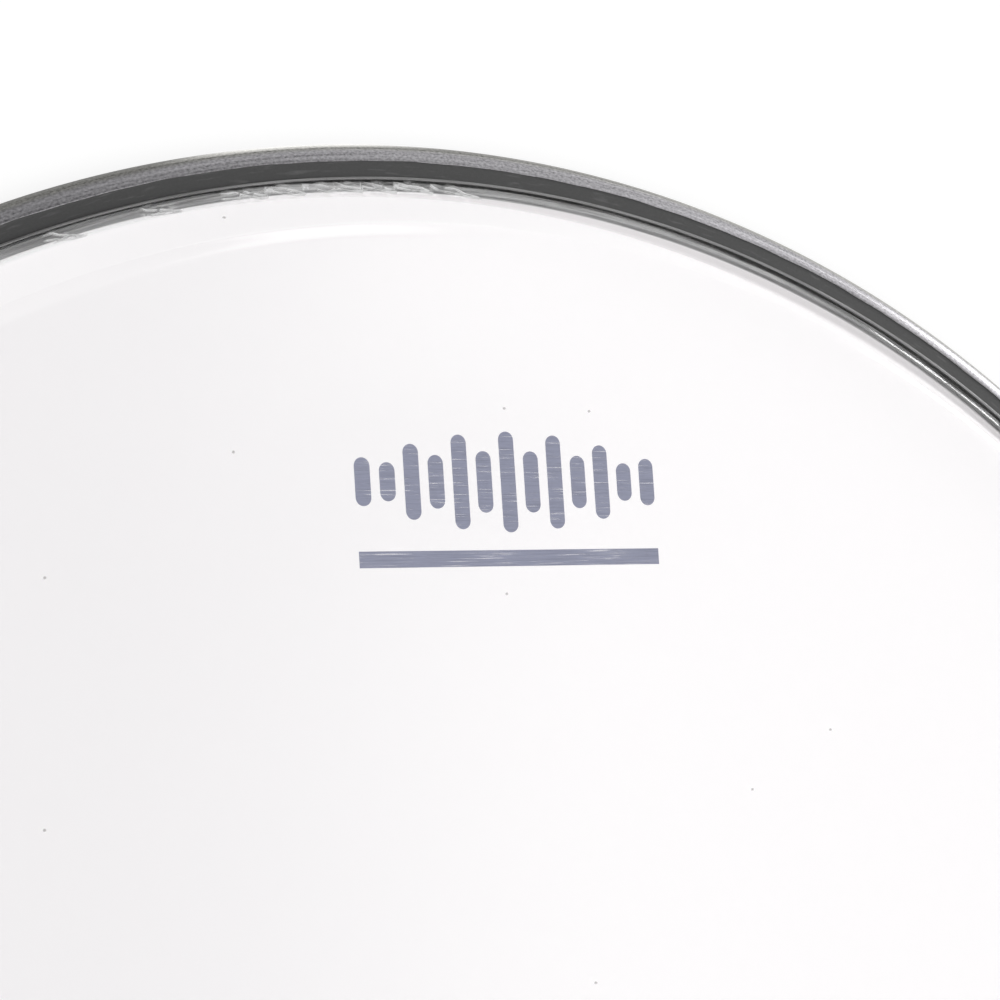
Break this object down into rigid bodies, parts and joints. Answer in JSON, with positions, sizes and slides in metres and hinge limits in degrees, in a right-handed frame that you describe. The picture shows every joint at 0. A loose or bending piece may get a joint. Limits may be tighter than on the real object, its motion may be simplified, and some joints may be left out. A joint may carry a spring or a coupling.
{
  "type": "clear drumhead",
  "caption": "Clear single-ply drumhead: polyester film with a formed collar, locked into a rolled aluminium hoop with a grooved top and a seam key.",
  "frame": {"origin": "on the hoop's axis, level with the underside of the hoop", "axes": "+Z along the drum's axis, out of the playing side; +Y from the axis towards the printed mark; +X to the right of the mark as it is read"},
  "size_m": [0.372, 0.372, 0.0135],
  "materials": {
    "hoop_metal": "satin grey, rolled, with fine lengthwise streaks",
    "key_metal": "mill finish",
    "wire_steel": "drawn wire",
    "resin": "cast, smooth",
    "clear_film": "clear, glossy, faintly hazy",
    "ink": "screen-printed ink, streaky"
  },
  "bodies": {
    "root": {"flesh_hoop": "hoop_metal", "joint_key": "key_metal", "locking_wire": "wire_steel", "resin_fill": "resin", "film": "clear_film", "ink_mark": "ink"}
  },
  "joints": []
}
